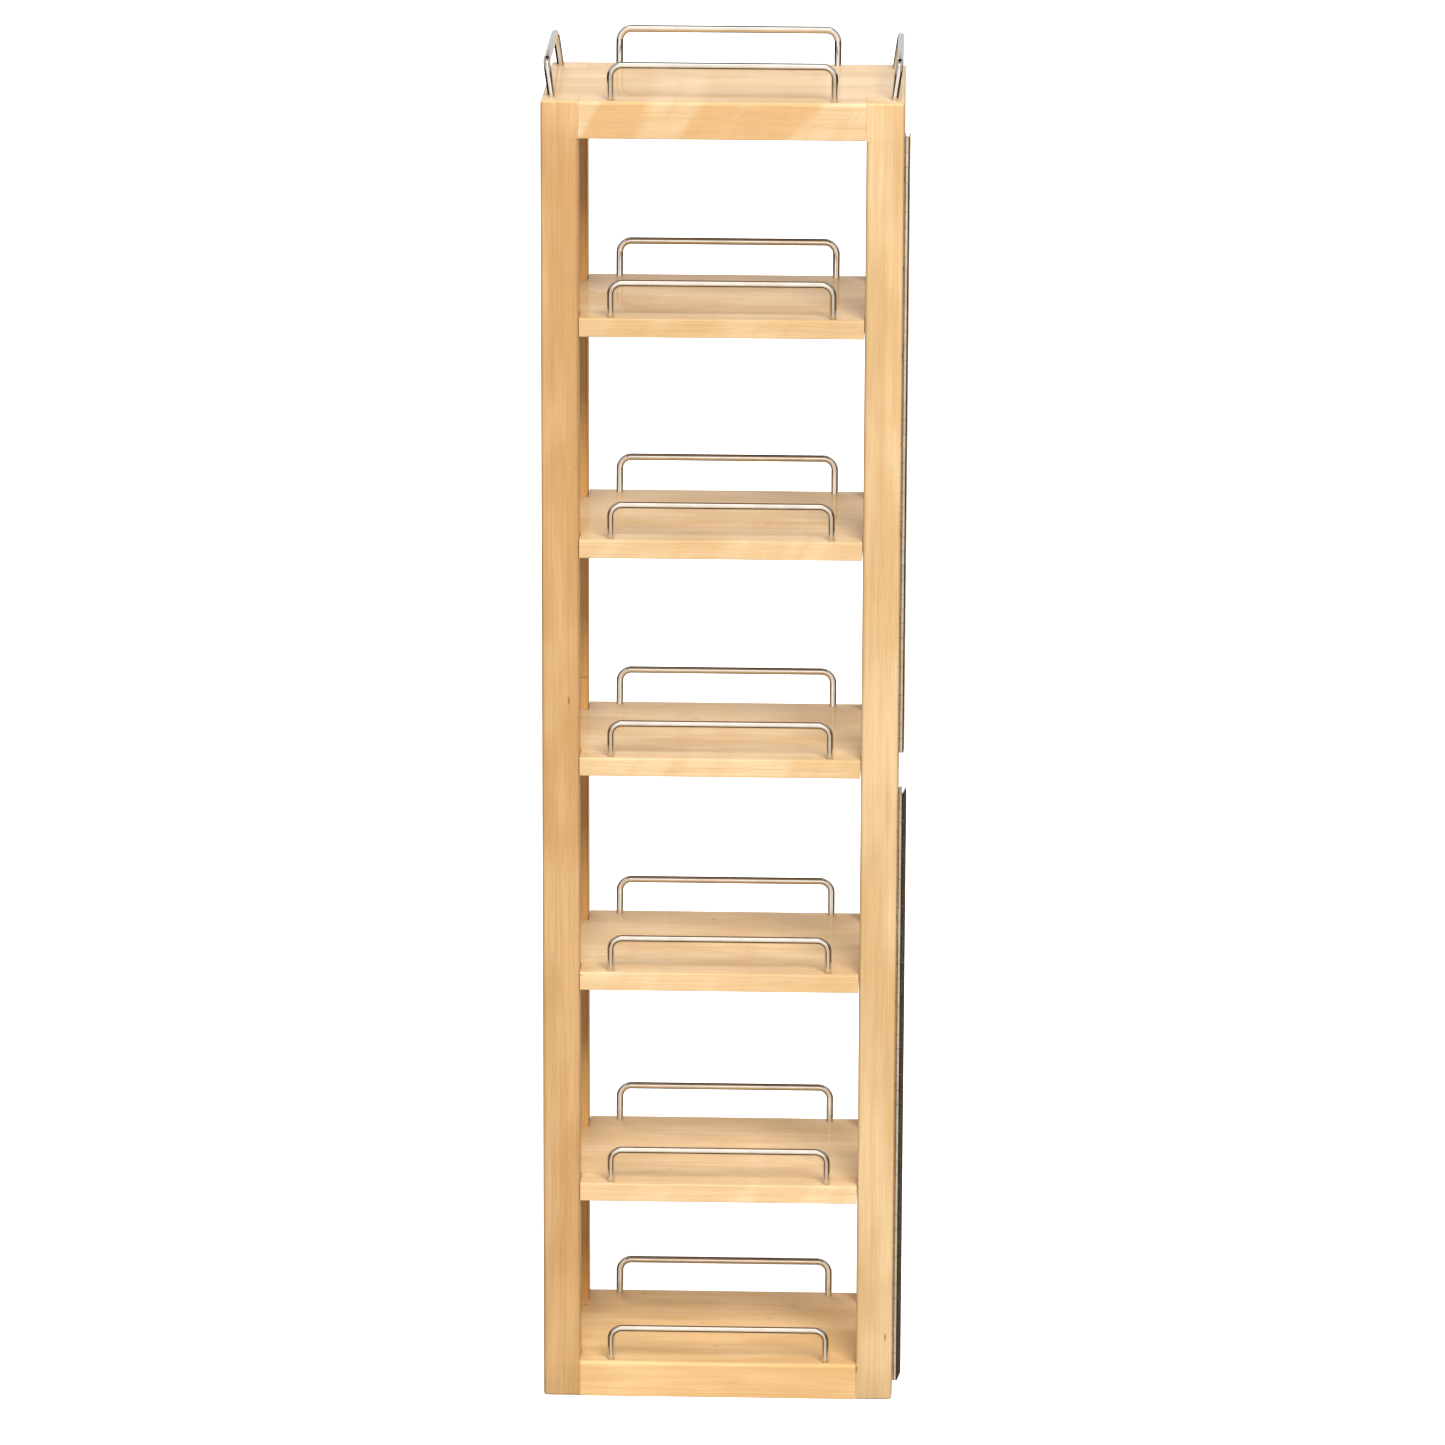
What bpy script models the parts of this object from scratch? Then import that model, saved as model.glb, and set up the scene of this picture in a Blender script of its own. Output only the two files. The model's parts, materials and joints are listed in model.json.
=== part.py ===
"""Narrow pantry shelf tower: four square posts, notched boards, wire rails and two continuous hinges.

Metres, +Z up, the front faces -Y, and the origin is the middle of the footprint on the floor.
"""

import math

import bmesh
import bpy
from mathutils import Matrix, Vector

MM = 0.001
GAP = 0.3 * MM  # clearance between pieces that touch

# The tower
WIDTH = 304.8 * MM
DEPTH = 190.5 * MM
HEIGHT = 1149.4 * MM
POST = 31.75 * MM
ARRIS = 3.0 * MM  # round-over on the long edges of the posts and fixed boards
END_ARRIS = 2.0 * MM  # on the ends of the posts
SHARP = 0.3 * MM  # edges that lie flush against a board
BOARD_THICK = 31.75 * MM
SHELF_THICK = 16.0 * MM
SHELF_ARRIS = 1.2 * MM
SHELF_SLACK = 0.75 * MM  # between an adjustable shelf and a post
SHELF_INSET = 0.8 * MM  # the shelves stand back from the posts' faces
HOLE_PITCH = 32.0 * MM  # shelf-pin holes
SHELVES = 5
FIRST_SHELF_TOP = 196.0 * MM
SHELF_PITCH = 6 * HOLE_PITCH

# Wire rails
WIRE_R = 3.0 * MM
WIRE_SIDES = 8
RAIL_SPAN = 188.0 * MM  # leg to leg, front and back rails
SIDE_RAIL_SPAN = 148.5 * MM
RAIL_HEIGHT = 30.0 * MM  # wood to the centre of the bar
RAIL_BEND = 10.0 * MM
BEND_STEPS = 4
RAIL_INSET = 8.5 * MM  # leg centre to the edge of the wood
RAIL_LEAN = math.radians(8)
FOOT_DEPTH = 11.0 * MM

# Shelf pins
PIN_R = 2.5 * MM
PIN_IN = 9.0 * MM
PIN_OUT = 8.0 * MM
PIN_CHAMFER = 0.6 * MM

# Continuous hinges
KNUCKLE = 12.7 * MM
KNUCKLES = 42
HINGE_LENGTH = KNUCKLE * KNUCKLES
HINGE_BOTTOMS = {"lower": 18.0 * MM, "upper": 587.8 * MM}
HINGE_OPEN = {"lower": math.radians(8), "upper": math.radians(2)}
HINGE_PIN_RISE = {"lower": 6.5 * MM, "upper": 1.0 * MM}
LEAF_WIDTH = 20.0 * MM  # pin axis to the free edge
LEAF_THICK = 1.1 * MM
EYE_R = 2.2 * MM  # outside of the rolled eye, across its flats
EYE_SIDES = 8
LEAF_ROOT = 2.9 * MM  # a leaf is cut back to here beside the other leaf's knuckles
HINGE_PIN_R = 1.04 * MM
PIN_AXIS_X = WIDTH / 2 + GAP + EYE_R
PIN_AXIS_Y = -DEPTH / 2 + 2.6 * MM
HOLE_ROW = 12.0 * MM  # pin axis to the screw holes
LEAF_HOLES = 7
LEAF_HOLE_PITCH = 6 * KNUCKLE
HINGE_SCREWS = 3  # modelled in each fixed leaf: first, middle and last hole
SCREW_HEAD_R = 3.2 * MM
SCREW_R = 1.5 * MM
SCREW_HEAD_DEPTH = 1.9 * MM
SCREW_LENGTH = 15.0 * MM

MATERIALS = {
    "post_wood": ((0.76, 0.53, 0.31), 0.35, 0.0),
    "board_wood": ((0.84, 0.64, 0.40), 0.35, 0.0),
    "shelf_wood": ((0.86, 0.66, 0.43), 0.35, 0.0),
    "rail_chrome": ((0.80, 0.80, 0.80), 0.08, 1.0),
    "hinge_steel": ((0.62, 0.60, 0.57), 0.30, 1.0),
    "pin_steel": ((0.58, 0.57, 0.56), 0.35, 1.0),
}

SIDES = {"left": -1, "right": 1}
ENDS = {"front": -1, "back": 1}


def clear_scene():
    for obj in list(bpy.data.objects):
        bpy.data.objects.remove(obj, do_unlink=True)


def make_materials():
    for name, (colour, roughness, metallic) in MATERIALS.items():
        material = bpy.data.materials.new(name)
        material.use_nodes = True
        shader = material.node_tree.nodes["Principled BSDF"]
        shader.inputs["Base Color"].default_value = (*colour, 1.0)
        shader.inputs["Roughness"].default_value = roughness
        shader.inputs["Metallic"].default_value = metallic


def add_object(name, bm, material=None, smooth=False):
    """Turns the mesh being built into an object; without a material it is a hidden cutter."""
    bmesh.ops.recalc_face_normals(bm, faces=bm.faces)
    mesh = bpy.data.meshes.new(name)
    bm.to_mesh(mesh)
    bm.free()
    obj = bpy.data.objects.new(name, mesh)
    bpy.context.scene.collection.objects.link(obj)
    if material:
        mesh.materials.append(bpy.data.materials[material])
    else:
        obj.hide_render = True
        obj.display_type = "WIRE"
    if smooth:
        mesh.shade_smooth()
        mesh.set_sharp_from_angle(angle=math.radians(50))
    return obj


def cut(obj, cutter):
    modifier = obj.modifiers.new(cutter.name, "BOOLEAN")
    modifier.operation = "DIFFERENCE"
    modifier.solver = "EXACT"
    modifier.object = cutter


def skin_rings(bm, rings):
    """Closes a row of equal rings of points into one skin with flat ends."""
    loops = [[bm.verts.new(point) for point in ring] for ring in rings]
    count = len(loops[0])
    for low, high in zip(loops, loops[1:]):
        for i in range(count):
            j = (i + 1) % count
            bm.faces.new((low[i], low[j], high[j], high[i]))
    bm.faces.new(loops[0][::-1])
    bm.faces.new(loops[-1])


def add_turned(bm, profile, placed, sides):
    """A turned solid: profile is (height, radius) pairs along the local Z axis."""
    turns = [2 * math.pi * (i + 0.5) / sides for i in range(sides)]
    rings = [[placed @ Vector((r * math.cos(a), r * math.sin(a), h)) for a in turns] for h, r in profile]
    skin_rings(bm, rings)


def facing(origin, direction):
    """The placement whose local Z axis runs from origin along direction."""
    turn = Vector(direction).to_track_quat("Z", "Y").to_matrix().to_4x4()
    return Matrix.Translation(origin) @ turn


# ---------------------------------------------------------------- posts


def post_ring(z, inset, radius, sx, sy):
    """One level of a post: its outer corner keeps the full round-over, the others get radius."""
    outer_x, outer_y = WIDTH / 2 - inset, DEPTH / 2 - inset
    inner_x, inner_y = WIDTH / 2 - POST, DEPTH / 2 - POST
    corners = (
        (outer_x, outer_y, ARRIS),
        (inner_x, outer_y, radius),
        (inner_x, inner_y, radius),
        (outer_x, inner_y, radius),
    )
    middle = Vector(((outer_x + inner_x) / 2, (outer_y + inner_y) / 2))
    points = []
    for index, (x, y, r) in enumerate(corners):
        out = Vector((math.copysign(1, x - middle.x), math.copysign(1, y - middle.y)))
        for step in range(3):
            turn = math.radians(90 * index + 45 * step)
            points.append((x - out.x * r + r * math.cos(turn), y - out.y * r + r * math.sin(turn)))
    return [Vector((sx * x, sy * y, z)) for x, y in points]


def shelf_top(level):
    return FIRST_SHELF_TOP + level * SHELF_PITCH


def pin_height(level):
    return shelf_top(level) - SHELF_THICK - GAP - PIN_R


def pin_spot(level, sx, sy, step=0):
    """Where a shelf pin leaves the face of its post that looks across the depth."""
    x = sx * (WIDTH - POST) / 2
    y = sy * (DEPTH / 2 - POST)
    return Vector((x, y, pin_height(level) + step * HOLE_PITCH))


def pin_hole_cutter(name, sx, sy):
    bm = bmesh.new()
    profile = ((-PIN_IN - GAP, PIN_R + GAP), (1 * MM, PIN_R + GAP))
    for level in range(SHELVES):
        for step in (-1, 0, 1):
            add_turned(bm, profile, facing(pin_spot(level, sx, sy, step), (0, -sy, 0)), WIRE_SIDES)
    return add_object(name + "_pin_holes", bm)


def make_post(end, side):
    sx, sy = SIDES[side], ENDS[end]
    run_out = BOARD_THICK + ARRIS
    levels = (
        (0, END_ARRIS, SHARP),
        (END_ARRIS, 0, SHARP),
        (BOARD_THICK, 0, SHARP),
        (run_out, 0, ARRIS),
        (HEIGHT - run_out, 0, ARRIS),
        (HEIGHT - BOARD_THICK, 0, SHARP),
        (HEIGHT - END_ARRIS, 0, SHARP),
        (HEIGHT, END_ARRIS, SHARP),
    )
    bm = bmesh.new()
    skin_rings(bm, [post_ring(z, inset, radius, sx, sy) for z, inset, radius in levels])
    name = f"post_{end}_{side}"
    post = add_object(name, bm, "post_wood")
    cut(post, pin_hole_cutter(name, sx, sy))
    cut(post, foot_cutter(name, [foot for foot in side_rail_feet(sx) if foot[0].y * sy > 0]))
    if sx > 0 and sy < 0:
        cut(post, screw_cutter(name))


# ---------------------------------------------------------------- boards and shelves


def notched_outline(half_x, half_y, notch_x, notch_y):
    """A rectangle with its corners cut out round the posts, anticlockwise from the front right."""
    quarter = ((notch_x, -half_y), (notch_x, -notch_y), (half_x, -notch_y))
    right = quarter + tuple((x, -y) for x, y in reversed(quarter))
    return right + tuple((-x, -y) for x, y in right)


def is_outer_edge(edge, half_x, half_y, z):
    """True on the long edges at height z that no post covers."""
    a, b = (vert.co for vert in edge.verts)
    if abs(a.z - z) > SHARP or abs(b.z - z) > SHARP:
        return False
    along_front = abs(abs(a.y) - half_y) < SHARP and abs(a.y - b.y) < SHARP
    along_side = abs(abs(a.x) - half_x) < SHARP and abs(a.x - b.x) < SHARP
    return along_front or along_side


def make_board(name, top, thick, inset, slack, material, arrises):
    """A board notched round the posts; arrises gives the round-over of its top and bottom edges."""
    half_x, half_y = WIDTH / 2 - inset, DEPTH / 2 - inset
    notch_x, notch_y = WIDTH / 2 - POST - slack, DEPTH / 2 - POST - slack
    bm = bmesh.new()
    outline = notched_outline(half_x, half_y, notch_x, notch_y)
    skin_rings(bm, [[Vector((x, y, z)) for x, y in outline] for z in (top - thick, top)])
    for z, (width, segments) in zip((top, top - thick), arrises):
        edges = [edge for edge in bm.edges if is_outer_edge(edge, half_x, half_y, z)]
        bmesh.ops.bevel(bm, geom=edges, offset=width, segments=segments, profile=0.5, affect="EDGES")
    board = add_object(name, bm, material)
    cut(board, foot_cutter(name, long_rail_feet(top, -1) + long_rail_feet(top, 1)))


# ---------------------------------------------------------------- rails


def long_rail_feet(top, sy):
    """(point, upward direction) of the two legs of a front or back rail."""
    up = Vector((0, sy * math.sin(RAIL_LEAN), math.cos(RAIL_LEAN)))
    y = sy * (DEPTH / 2 - RAIL_INSET)
    return [(Vector((s * RAIL_SPAN / 2, y, top)), up) for s in (-1, 1)]


def side_rail_feet(sx):
    """The same for a side rail, which stands on the ends of two posts."""
    up = Vector((sx * math.sin(RAIL_LEAN), 0, math.cos(RAIL_LEAN)))
    x = sx * (WIDTH / 2 - RAIL_INSET)
    return [(Vector((x, s * SIDE_RAIL_SPAN / 2, HEIGHT)), up) for s in (-1, 1)]


def foot_cutter(name, feet):
    bm = bmesh.new()
    profile = ((-FOOT_DEPTH - GAP, WIRE_R + GAP), (2 * WIRE_R, WIRE_R + GAP))
    for point, up in feet:
        add_turned(bm, profile, facing(point, up), WIRE_SIDES)
    return add_object(name + "_foot_holes", bm)


def rail_path(span):
    """(across, up, direction) stations of the bent wire in its own plane."""
    reach, height = span / 2, RAIL_HEIGHT / math.cos(RAIL_LEAN)
    stations = [(-reach, -FOOT_DEPTH, math.pi / 2)]
    for side in (-1, 1):
        centre = side * (reach - RAIL_BEND)
        for step in range(BEND_STEPS + 1):
            turned = math.pi / 2 * step / BEND_STEPS
            turn = math.pi / 2 - turned if side < 0 else -turned
            across = centre - RAIL_BEND * math.sin(turn)
            stations.append((across, height - RAIL_BEND + RAIL_BEND * math.cos(turn), turn))
    return stations + [(reach, -FOOT_DEPTH, -math.pi / 2)]


def make_rail(name, feet, span):
    (low, up), (high, _) = feet
    middle, along = (low + high) / 2, (high - low).normalized()
    normal = along.cross(up)
    rings = []
    for across, rise, turn in rail_path(span):
        centre = middle + along * across + up * rise
        side = up * math.cos(turn) - along * math.sin(turn)
        angles = [2 * math.pi * (i + 0.5) / WIRE_SIDES for i in range(WIRE_SIDES)]
        rings.append([centre + WIRE_R * (side * math.cos(a) + normal * math.sin(a)) for a in angles])
    bm = bmesh.new()
    skin_rings(bm, rings)
    add_object(name, bm, "rail_chrome", smooth=True)


# ---------------------------------------------------------------- shelf pins


def make_shelf_pin(level, end, side):
    sx, sy = SIDES[side], ENDS[end]
    profile = ((-PIN_IN, PIN_R), (PIN_OUT - PIN_CHAMFER, PIN_R), (PIN_OUT, PIN_R - PIN_CHAMFER))
    bm = bmesh.new()
    add_turned(bm, profile, facing(pin_spot(level, sx, sy), (0, -sy, 0)), WIRE_SIDES)
    add_object(f"shelf_{level + 1}_pin_{end}_{side}", bm, "pin_steel", smooth=True)


# ---------------------------------------------------------------- hinges


def leaf_outline(side):
    """The rolled sheet seen along the pin: the plate joins the first and last points.

    The eye between them has flat sides round the pin. side is -1 for the fixed leaf, 1 for the moving one.
    """
    half = 180 / EYE_SIDES

    def eye_corner(radius, degrees):
        reach = radius / math.cos(math.pi / EYE_SIDES)
        turn = math.radians(degrees)
        return Vector((-side * reach * math.cos(turn), reach * math.sin(turn)))

    turns = [180 + half + 2 * half * k for k in range(EYE_SIDES - 1)]
    outside = [eye_corner(EYE_R, turn) for turn in turns]
    inside = [eye_corner(EYE_R - LEAF_THICK, turn) for turn in reversed(turns)]
    root = [Vector((side * EYE_R, LEAF_ROOT)), Vector((side * (EYE_R - LEAF_THICK), LEAF_ROOT))]
    return [root[0], *outside, *inside, root[1]]


def leaf_levels(first):
    """(bottom, top, rolled) of each stretch; rolled ones carry a knuckle of this leaf."""
    levels = []
    for k in range(KNUCKLES):
        rolled = k % 2 == first
        trim = GAP / 2 if rolled else -GAP / 2
        low = k * KNUCKLE + (trim if k else 0)
        high = (k + 1) * KNUCKLE - (trim if k < KNUCKLES - 1 else 0)
        levels.append((low, high, rolled))
    return levels


def add_leaf(bm, side, first):
    """A comb-shaped plate with a rolled eye on every second stretch, as one skin."""
    outline = leaf_outline(side)
    edge = [Vector((side * (EYE_R - LEAF_THICK), LEAF_WIDTH)), Vector((side * EYE_R, LEAF_WIDTH))]
    levels = leaf_levels(first)
    heights = [levels[0][0]] + [high for _, high, _ in levels]
    rows = [[bm.verts.new((*p, z)) for p in (outline[0], outline[-1], *edge)] for z in heights]
    for index, (low, high, rolled) in enumerate(levels):
        below, above = rows[index], rows[index + 1]
        for i in (1, 2, 3):
            j = (i + 1) % 4
            bm.faces.new((below[i], below[j], above[j], above[i]))
        if not rolled:
            bm.faces.new((below[0], below[1], above[1], above[0]))
            continue
        eyes = []
        for z, row in ((low, below), (high, above)):
            eyes.append([row[0], *(bm.verts.new((*p, z)) for p in outline[1:-1]), row[1]])
        for i in range(len(outline) - 1):
            bm.faces.new((eyes[0][i], eyes[0][i + 1], eyes[1][i + 1], eyes[1][i]))
        bm.faces.new(eyes[0])
        bm.faces.new(eyes[1][::-1])
    bm.faces.new(rows[0])
    bm.faces.new(rows[-1][::-1])


def leaf_hole_heights():
    first = (HINGE_LENGTH - (LEAF_HOLES - 1) * LEAF_HOLE_PITCH) / 2
    return [first + k * LEAF_HOLE_PITCH for k in range(LEAF_HOLES)]


def screw_profile(gap=0.0):
    """Countersunk head at 0, shank below it; gap widens it into its hole."""
    return (
        (-SCREW_LENGTH - gap, SCREW_R + gap),
        (-SCREW_HEAD_DEPTH, SCREW_R + gap),
        (gap, SCREW_HEAD_R + gap),
    )


def screwed_heights():
    heights = leaf_hole_heights()
    return [heights[round(k * (LEAF_HOLES - 1) / (HINGE_SCREWS - 1))] for k in range(HINGE_SCREWS)]


def screw_spot(z):
    """The middle of a screw head, flush with the fixed leaf."""
    return Vector((PIN_AXIS_X - EYE_R + LEAF_THICK, PIN_AXIS_Y + HOLE_ROW, z))


def screw_cutter(name):
    """Pilot holes in the post behind the hinge screws."""
    bm = bmesh.new()
    for bottom in HINGE_BOTTOMS.values():
        for z in screwed_heights():
            add_turned(bm, screw_profile(GAP), facing(screw_spot(bottom + z), (1, 0, 0)), WIRE_SIDES)
    return add_object(name + "_pilot_holes", bm)


def leaf_hole_cutter(name, side):
    """Countersunk holes whose wide mouths are on the face towards the other leaf."""
    bm = bmesh.new()
    for z in leaf_hole_heights():
        mouth = Vector((side * (EYE_R - LEAF_THICK), HOLE_ROW, z))
        add_turned(bm, screw_profile(GAP), facing(mouth, (-side, 0, 0)), WIRE_SIDES)
    return add_object(name + "_screw_holes", bm)


def make_leaf(name, side, placed):
    bm = bmesh.new()
    add_leaf(bm, side, first=0 if side < 0 else 1)
    leaf = add_object(name, bm, "hinge_steel", smooth=True)
    cutter = leaf_hole_cutter(name, side)
    cut(leaf, cutter)
    for obj in (leaf, cutter):
        obj.parent = placed


def make_hinge(which):
    bottom, opened = HINGE_BOTTOMS[which], HINGE_OPEN[which]
    axis = bpy.data.objects.new(f"hinge_{which}_axis", None)
    swing = bpy.data.objects.new(f"hinge_{which}_swing", None)
    for empty, turn in ((axis, 0), (swing, -opened)):
        bpy.context.scene.collection.objects.link(empty)
        empty.location = (PIN_AXIS_X, PIN_AXIS_Y, bottom)
        empty.rotation_euler = (0, 0, turn)
    make_leaf(f"hinge_{which}_fixed_leaf", -1, axis)
    make_leaf(f"hinge_{which}_moving_leaf", 1, swing)
    bm = bmesh.new()
    top = HINGE_LENGTH + HINGE_PIN_RISE[which]
    add_turned(bm, ((0, HINGE_PIN_R), (top, HINGE_PIN_R)), Matrix(), 2 * EYE_SIDES)
    pin = add_object(f"hinge_{which}_pin", bm, "pin_steel", smooth=True)
    pin.parent = axis
    for number, z in enumerate(screwed_heights(), 1):
        bm = bmesh.new()
        add_turned(bm, screw_profile(), facing(screw_spot(bottom + z), (1, 0, 0)), WIRE_SIDES)
        add_object(f"hinge_{which}_screw_{number}", bm, "pin_steel", smooth=True)


# ---------------------------------------------------------------- assembly


def make_board_with_rails(name, top, **options):
    make_board(name, top, **options)
    for end, sy in ENDS.items():
        rail = name.replace("_board", "") + f"_rail_{end}"
        make_rail(rail, long_rail_feet(top, sy), RAIL_SPAN)


def main():
    clear_scene()
    make_materials()
    for end in ENDS:
        for side in SIDES:
            make_post(end, side)
    fixed = {"thick": BOARD_THICK, "inset": 0, "slack": GAP, "material": "board_wood"}
    soft, eased, crisp = (ARRIS, 2), (1.0 * MM, 1), (SHELF_ARRIS, 2)
    make_board_with_rails("bottom_board", BOARD_THICK, arrises=(soft, eased), **fixed)
    make_board_with_rails("top_board", HEIGHT, arrises=(soft, eased), **fixed)
    loose = {"thick": SHELF_THICK, "inset": SHELF_INSET, "slack": SHELF_SLACK, "material": "shelf_wood"}
    for level in range(SHELVES):
        make_board_with_rails(f"shelf_{level + 1}", shelf_top(level), arrises=(crisp, eased), **loose)
        for end in ENDS:
            for side in SIDES:
                make_shelf_pin(level, end, side)
    for side, sx in SIDES.items():
        make_rail(f"top_rail_{side}", side_rail_feet(sx), SIDE_RAIL_SPAN)
    for which in HINGE_BOTTOMS:
        make_hinge(which)


main()
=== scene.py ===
"""Looks of the pantry shelf tower: lacquered birch, bent chrome wire and two continuous hinges.

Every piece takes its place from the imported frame. Lengths are metres, and the wood's textures work in mm.
"""

import json
import math

import bmesh
import bpy
from mathutils import Matrix, Vector


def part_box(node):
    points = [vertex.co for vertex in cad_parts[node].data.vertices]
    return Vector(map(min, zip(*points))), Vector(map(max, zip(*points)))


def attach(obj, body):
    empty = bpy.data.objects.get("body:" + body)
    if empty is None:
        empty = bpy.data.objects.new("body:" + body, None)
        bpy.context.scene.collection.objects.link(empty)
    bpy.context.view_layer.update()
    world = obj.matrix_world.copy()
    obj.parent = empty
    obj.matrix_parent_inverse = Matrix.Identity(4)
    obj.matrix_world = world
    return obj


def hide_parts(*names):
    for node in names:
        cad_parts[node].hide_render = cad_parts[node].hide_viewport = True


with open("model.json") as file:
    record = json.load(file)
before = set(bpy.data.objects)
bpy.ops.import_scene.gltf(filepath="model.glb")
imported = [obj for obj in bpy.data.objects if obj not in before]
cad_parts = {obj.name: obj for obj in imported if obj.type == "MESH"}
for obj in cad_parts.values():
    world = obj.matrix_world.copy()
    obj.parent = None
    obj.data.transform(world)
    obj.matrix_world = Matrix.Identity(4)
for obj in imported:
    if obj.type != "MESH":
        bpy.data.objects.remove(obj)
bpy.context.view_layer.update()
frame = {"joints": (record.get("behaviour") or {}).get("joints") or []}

MM = 0.001
SIDES = {"left": -1, "right": 1}
ENDS = {"front": -1, "back": 1}
LEVELS = 5  # adjustable shelves
TURNED_SIDES = 24  # round each pin, screw and drilled hole

# Woodwork
ARRIS = 3.0 * MM  # round-over on the posts and the fixed boards
SHELF_ARRIS = 1.2 * MM
END_ARRIS = 2.0 * MM
SMALL_ARRIS = 0.8 * MM
TIGHT = 0.12 * MM  # a glued joint line
SHELF_GAP = 0.35 * MM  # a shelf's play round the posts
NOTCH_ARRIS = 0.2 * MM  # on a shelf's edges round the posts
BIT = 0.02 * MM  # too small to see: the least radius, and the slack in comparing places
ARC_STEPS = 5

# Shelf pins and their holes
HOLE_PITCH = 32.0 * MM
HOLE_PLAY = 0.15 * MM
HOLE_DEPTH = 9.3 * MM
HOLE_MOUTH = 0.4 * MM  # how deep the eased mouth goes
SHELF_PIN_R = 2.5 * MM
PIN_NOSE = 0.8 * MM  # radius of the rounded tip
PIN_GROOVE = ((1.2 * MM, 0.0), (1.4 * MM, 0.2 * MM), (1.8 * MM, 0.2 * MM), (2.0 * MM, 0.0))  # (place, depth)
PIN_SHORT = 0.3 * MM  # between a pin's inner end and the end of its CAD body

# Wire rails
WIRE_R = 3.0 * MM
WIRE_SIDES = 28
RAIL_BEND = 10.0 * MM
BEND_STEPS = 12
RAIL_LEAN = math.radians(8)
FOOT_DEPTH = 11.0 * MM
FOOT_HOLE_R = 3.25 * MM
FOOT_SHORT = 0.2 * MM  # between a leg's end and the bottom of its hole

# Continuous hinges
KNUCKLES = 42
LEAF_THICK = 1.1 * MM
EYE_R = 2.19 * MM
EYE_STEPS = 22
EYE_TURN = math.radians(300)  # how far the strip is rolled round the pin
KNUCKLE_PLAY = 0.2 * MM
LEAF_ROOT = 2.7 * MM  # from the pin's axis to the start of the flat plate
HINGE_PIN_R = 1.05 * MM
LEAF_HOLES = 7
HOLE_ROW = 12.0 * MM
SCREW_HEAD_R = 3.2 * MM
SCREW_R = 1.5 * MM
SCREW_HEAD_DEPTH = 1.9 * MM
SCREW_LENGTH = 15.0 * MM
SCREW_TAPER = 3.0 * MM
RECESS_DEPTH, RECESS_REACH, RECESS_BAR = 1.1 * MM, 1.8 * MM, 0.35 * MM  # the cross, from its middle


# ---------------------------------------------------------------- meshes


def finish_piece(name, bm, material, body, replaced=(), smooth=35):
    """Makes the piece, hangs it on its body, gives it its material and hides the CAD nodes that it replaces.
    """
    bmesh.ops.recalc_face_normals(bm, faces=bm.faces)
    mesh = bpy.data.meshes.new(name)
    bm.to_mesh(mesh)
    bm.free()
    piece = bpy.data.objects.new(name, mesh)
    bpy.context.scene.collection.objects.link(piece)
    mesh.materials.append(material)
    mesh.shade_smooth()
    mesh.set_sharp_from_angle(angle=math.radians(smooth))
    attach(piece, body)
    if replaced:
        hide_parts(*replaced)
    return piece


def skin_rings(bm, rings):
    """Closes a row of equal rings of points into one skin with flat ends."""
    loops = [[bm.verts.new(point) for point in ring] for ring in rings]
    count = len(loops[0])
    for low, high in zip(loops, loops[1:]):
        for i in range(count):
            j = (i + 1) % count
            bm.faces.new((low[i], low[j], high[j], high[i]))
    bm.faces.new(loops[0][::-1])
    bm.faces.new(loops[-1])


def add_turned(bm, profile, placed, sides):
    """A turned solid: profile is (height, radius) pairs along the local Z axis."""
    turns = [2 * math.pi * i / sides for i in range(sides)]
    rings = [[placed @ Vector((r * math.cos(a), r * math.sin(a), h)) for a in turns] for h, r in profile]
    skin_rings(bm, rings)


def facing(origin, direction):
    """The placement whose local Z axis runs from origin along direction."""
    turn = Vector(direction).to_track_quat("Z", "Y").to_matrix().to_4x4()
    return Matrix.Translation(origin) @ turn


def cut_away(piece, bm_cutter):
    """Cuts the cutter's solids out of the piece for good."""
    bmesh.ops.recalc_face_normals(bm_cutter, faces=bm_cutter.faces)
    mesh = bpy.data.meshes.new("cutter")
    bm_cutter.to_mesh(mesh)
    bm_cutter.free()
    cutter = bpy.data.objects.new("cutter", mesh)
    bpy.context.scene.collection.objects.link(cutter)
    modifier = piece.modifiers.new("holes", "BOOLEAN")
    modifier.operation = "DIFFERENCE"
    modifier.solver = "EXACT"
    modifier.object = cutter
    graph = bpy.context.evaluated_depsgraph_get()
    cut = bpy.data.meshes.new_from_object(piece.evaluated_get(graph))
    piece.modifiers.clear()
    old, piece.data = piece.data, cut
    bpy.data.meshes.remove(old)
    bpy.data.objects.remove(cutter)
    bpy.data.meshes.remove(mesh)


# ---------------------------------------------------------------- shader shorthand


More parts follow.
